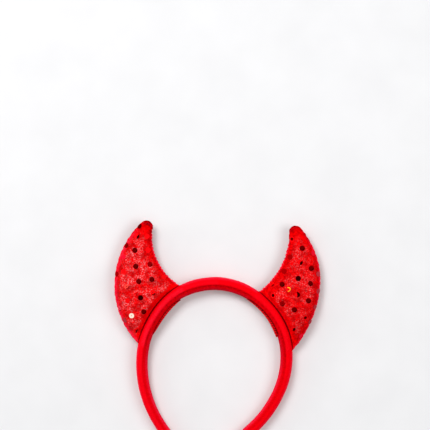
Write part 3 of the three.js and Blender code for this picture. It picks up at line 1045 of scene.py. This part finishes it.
def make_sequins(name, horn):
    draw = random.Random(f"sequins {name}")
    tree = BVHTree.FromObject(horn, bpy.context.evaluated_depsgraph_get())
    wanted = [(photo_to_own(x, y), 1, look) for x, y, look in SEQUIN_PIXELS[name]]
    middle = sum((place for place, _, _ in wanted), Vector((0, 0))) / len(wanted)
    looks = ["dark"] * 6 + ["wine"] * 3 + ["half", "third", "red", "red", "crimson"]
    wanted += [(place, -1, draw.choice(looks)) for place in rear_places(name)]
    names = list(FOILS)
    points, faces, slots = [], [], []
    for place, face, look in wanted:
        if face < 0 and not cloth_under(tree, place, face)[0]:
            continue
        seated = seat(tree, place, face, middle)
        if not seated:
            continue
        centre, normal = seated
        if off_surface(name, OWN.inverted() @ centre) < SEQUIN_RADIUS or (face < 0 and centre.z < 0.5 * MM):
            continue
        base = len(points)
        ring_points, sides = sequin_shape(centre, normal, 0.08 * MM)
        points += ring_points
        for side, ring, at in sides:
            faces.append(tuple(base + i for i in side))
            slots.append(names.index(sequin_foil(look, ring, at)))
    made = make_object(f"sequins_{name}", points, faces, FOILS[names[0]])
    for foil in names[1:]:
        made.data.materials.append(FOILS[foil])
    made.data.polygons.foreach_set("material_index", slots)
    made.data.polygons.foreach_set("use_smooth", [False] * len(slots))
    for vertex in made.data.vertices:
        vertex.co.z = max(vertex.co.z, 0)
    return finish_piece(made, "sequin_cloth")


# The felt patches and their stitches


def patch_shape(name, share):
    """The angle that the patch wraps to each side, and its thickness, at a share of it."""
    wrap = PATCH_WRAP[name] * (0.4 + 0.6 * math.sqrt(max(1 - abs(2 * share - 1) ** 3, 0)))
    return wrap, PATCH_THICKNESS * between(PATCH_FULLNESS[name], share)


def make_patch(name):
    start, length = HORNS[name]["patch"]
    steps, sides = 90, 14
    points = []
    for i in range(steps + 1):
        share = i / steps
        wrap, thickness = patch_shape(name, share)
        distance = start + length * share
        for lift, edge, order in (
            (PATCH_LIFT, 1.0, range(sides + 1)),
            (PATCH_LIFT + thickness, 0.9, range(sides, -1, -1)),
        ):
            for k in order:
                angle = wrap * edge * (2 * k / sides - 1)
                rough = 0.12 * MM * wobble((distance, angle * 8 * MM, lift), 1.6 * MM, 7)
                stand = lift + (rough if lift > PATCH_LIFT else 0)
                points.append(on_band(name, distance, math.pi - angle, stand))
    count = 2 * (sides + 1)
    for ring in (points[:count], points[-count:]):
        points.append(sum(ring, Vector()) / count)
    made = make_object(f"patch_{name}_felt", [OWN @ p for p in points],
                       loft_faces(steps + 1, count), FELT)
    outward_faces(made)
    return finish_piece(made, "felt", f"patch_{name}")


def tube(path, radius, sides=6):
    """A thin tube along a few points: its points and faces."""
    points = []
    for i, at in enumerate(path):
        ahead = (path[min(i + 1, len(path) - 1)] - path[max(i - 1, 0)]).normalized()
        turn = ahead.to_track_quat("Z", "Y").to_matrix()
        for k in range(sides):
            angle = 2 * math.pi * k / sides
            points.append(at + turn @ Vector((math.cos(angle), math.sin(angle), 0)) * radius)
    points += [path[0], path[-1]]
    return points, loft_faces(len(path), sides)


STITCH_PITCH = 2.4 * MM
STITCH_RADIUS = 0.24 * MM


def make_stitches(name):
    """Whip stitches over both long edges of the patch, into the band's cover."""
    draw = random.Random(f"stitches {name}")
    start, length = HORNS[name]["patch"]
    points, faces = [], []
    for edge in (1, -1):
        for i in range(int(length / STITCH_PITCH)):
            share = (i + 0.5 + draw.uniform(-0.12, 0.12)) * STITCH_PITCH / length
            wrap, thickness = patch_shape(name, share)
            distance = start + length * share
            path = []
            for t in (0, 0.2, 0.4, 0.6, 0.8, 1):
                angle = math.pi - edge * (wrap * 0.93 + math.radians(9) * t)
                lift = (thickness * smooth(0.75, 0.25, t) if t < 0.75 else 0) + PATCH_LIFT
                lift -= 0.35 * MM * (abs(2 * t - 1) ** 4)
                slant = (t - 0.5) * 1.7 * MM
                path.append(OWN @ on_band(name, distance + slant, angle, lift))
            ring, sides = tube(path, STITCH_RADIUS)
            base = len(points)
            points += ring
            faces += [tuple(base + k for k in side) for side in sides]
    made = make_object(f"stitches_{name}", points, faces, THREAD)
    return finish_piece(made, "felt")


# The table, the lights and the camera


def make_camera():
    """Straight above the table, framed and turned as the photo is."""
    middle = photo_to_own(PHOTO_SIZE / 2, PHOTO_SIZE / 2)
    height = 1.6
    camera = bpy.data.objects.new("camera", bpy.data.cameras.new("camera"))
    target = OWN @ Vector((middle.x, middle.y, 0))
    camera.location = (target.x, target.y, height)
    camera.rotation_euler = (0, 0, PHOTO_TURN)
    camera.data.sensor_width = 36
    camera.data.lens = 36 * (height - target.z) / (PHOTO_SIZE * PIXEL)
    bpy.context.scene.collection.objects.link(camera)
    bpy.context.scene.camera = camera


def make_table():
    n = Nodes("table")
    grain = n.noise(40 * MM, detail=2)
    tone = n.ramp(grain, (0.3, (0.735, 0.735, 0.745)), (0.7, (0.765, 0.765, 0.775)))
    n.shade(Base_Color=tone, Roughness=0.7, Specular_IOR_Level=0.2)
    size = 3.0
    corners = [(-size, -size, 0), (size, -size, 0), (size, size, 0), (-size, size, 0)]
    make_object("table", corners, [(0, 1, 2, 3)], n.material)


def make_light(name, place, size, power, colour=(1, 1, 1)):
    light = bpy.data.objects.new(name, bpy.data.lights.new(name, "AREA"))
    light.data.size = size
    light.data.energy = power
    light.data.color = colour
    light.location = place
    light.rotation_euler = (-Vector(place)).to_track_quat("-Z", "Y").to_euler()
    bpy.context.scene.collection.objects.link(light)


def make_lighting():
    world = bpy.data.worlds.new("studio")
    world.use_nodes = True
    background = world.node_tree.nodes["Background"]
    background.inputs["Color"].default_value = (1.0, 1.0, 1.0, 1)
    background.inputs["Strength"].default_value = 0.45
    bpy.context.scene.world = world
    make_light("key", (-0.55, 0.75, 1.3), 0.7, 15.5)
    make_light("fill", (0.9, 0.1, 1.15), 0.8, 7.0)
    make_light("side", (-1.2, 0.2, 0.45), 0.5, 2.5)


make_camera()
make_table()
make_lighting()
make_band()
for side in HORNS:
    horn = make_horn(side)
    make_sequins(side, horn)
    make_patch(side)
    make_stitches(side)

bpy.context.scene.view_settings.view_transform = "Standard"
